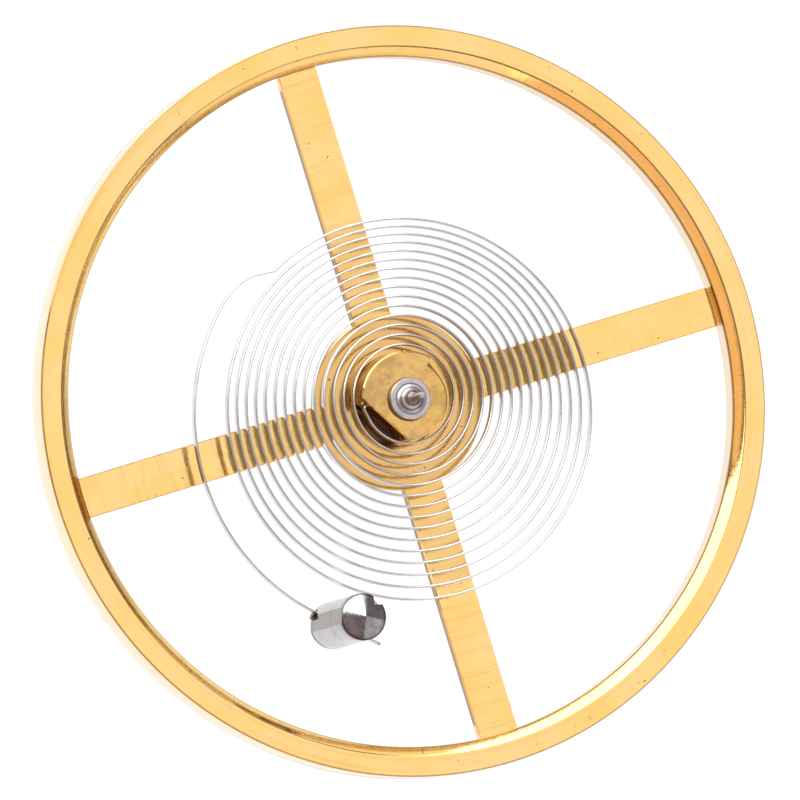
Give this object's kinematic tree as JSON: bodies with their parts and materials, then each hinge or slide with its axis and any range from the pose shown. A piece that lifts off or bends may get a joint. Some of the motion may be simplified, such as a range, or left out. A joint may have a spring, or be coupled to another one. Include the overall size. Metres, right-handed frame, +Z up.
{
  "type": "balance wheel",
  "caption": "Watch balance complete: a gilt annular balance wheel with plain arms on its turned staff, with roller, impulse jewel, collet, flat hairspring and stud.",
  "frame": {"origin": "tip of the lower pivot, on the staff's axis", "axes": "+Z up the staff towards the hairspring and the upper pivot, +X along one arm"},
  "size_m": [0.01, 0.01, 0.0036],
  "materials": {
    "gilt_brass": "polished",
    "brass": "satin",
    "bright_steel": "polished",
    "spring_alloy": "polished",
    "ruby": "polished"
  },
  "bodies": {
    "stud_side": {"hairspring_stud": "bright_steel", "stud_pin": "brass", "hairspring": "spring_alloy"},
    "balance": {"balance_wheel": "gilt_brass", "balance_staff": "bright_steel", "double_roller": "bright_steel", "impulse_jewel": "ruby", "collet": "gilt_brass", "collet_pin": "brass"}
  },
  "joints": [
    {"name": "oscillation", "type": "hinge", "parent": "stud_side", "child": "balance", "pos_m": [0, 0, 0], "axis": [0, 0, 1], "range_deg": [-310, 310], "stiffness_Nm_per_rad": 0.0000007, "deforming": ["hairspring"]}
  ]
}
